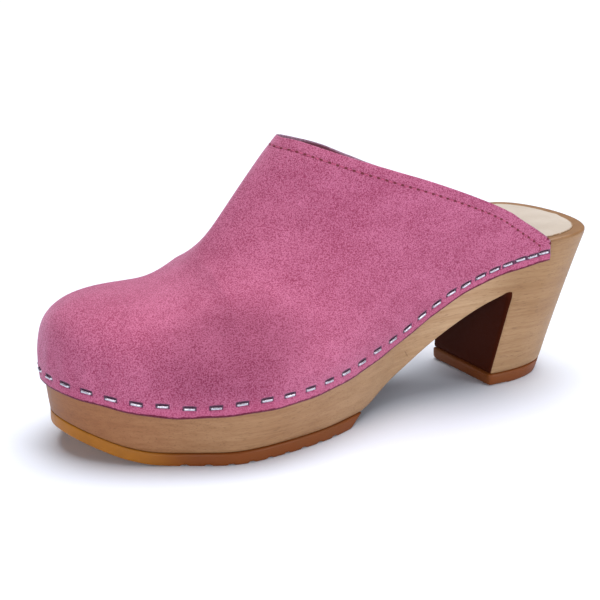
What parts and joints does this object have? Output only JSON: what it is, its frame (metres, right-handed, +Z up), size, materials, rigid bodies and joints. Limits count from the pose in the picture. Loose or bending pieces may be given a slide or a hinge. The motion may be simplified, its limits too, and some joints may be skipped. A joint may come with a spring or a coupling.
{
  "type": "swedish clog",
  "caption": "Closed-toe clog, left shoe: stapled suede upper with an open back on a carved wood sole with an arched waist, slanted block heel and gum rubber treads.",
  "frame": {"origin": "middle of the shoe's box in plan, on the floor that it stands on", "axes": "+X from the heel to the toe, +Y to the wearer's left (the outer side of this left shoe), +Z up"},
  "size_m": [0.2443, 0.1014, 0.1135],
  "materials": {
    "pale_wood": "oiled, fine straight grain",
    "suede": "brushed nap, matte",
    "sock_leather": "smooth, matte",
    "gum_rubber": "satin",
    "heel_rubber": "satin",
    "staple_steel": "bright, slightly worn"
  },
  "bodies": {
    "root": {"wood_sole": "pale_wood", "upper": "suede", "insole": "sock_leather", "outsole": "gum_rubber", "heel_tip": "heel_rubber", "staple_outer_01": "staple_steel", "staple_outer_02": "staple_steel", "staple_outer_03": "staple_steel", "staple_outer_04": "staple_steel", "staple_outer_05": "staple_steel", "staple_outer_06": "staple_steel", "staple_outer_07": "staple_steel", "staple_outer_08": "staple_steel", "staple_outer_09": "staple_steel", "staple_outer_10": "staple_steel", "staple_outer_11": "staple_steel", "staple_outer_12": "staple_steel", "staple_outer_13": "staple_steel", "staple_outer_14": "staple_steel", "staple_outer_15": "staple_steel", "staple_outer_16": "staple_steel", "staple_outer_17": "staple_steel", "staple_outer_18": "staple_steel", "staple_outer_19": "staple_steel", "staple_outer_20": "staple_steel", "staple_outer_21": "staple_steel", "staple_outer_22": "staple_steel", "staple_outer_23": "staple_steel", "staple_outer_24": "staple_steel", "staple_outer_25": "staple_steel", "staple_outer_26": "staple_steel", "staple_outer_27": "staple_steel", "staple_outer_28": "staple_steel", "staple_inner_27": "staple_steel", "staple_inner_01": "staple_steel", "staple_inner_02": "staple_steel", "staple_inner_03": "staple_steel", "staple_inner_04": "staple_steel", "staple_inner_05": "staple_steel", "staple_inner_06": "staple_steel", "staple_inner_07": "staple_steel", "staple_inner_08": "staple_steel", "staple_inner_09": "staple_steel", "staple_inner_10": "staple_steel", "staple_inner_11": "staple_steel", "staple_inner_12": "staple_steel", "staple_inner_13": "staple_steel", "staple_inner_14": "staple_steel", "staple_inner_15": "staple_steel", "staple_inner_16": "staple_steel", "staple_inner_17": "staple_steel", "staple_inner_18": "staple_steel", "staple_inner_19": "staple_steel", "staple_inner_20": "staple_steel", "staple_inner_21": "staple_steel", "staple_inner_22": "staple_steel", "staple_inner_23": "staple_steel", "staple_inner_24": "staple_steel", "staple_inner_25": "staple_steel", "staple_inner_26": "staple_steel"}
  },
  "joints": []
}
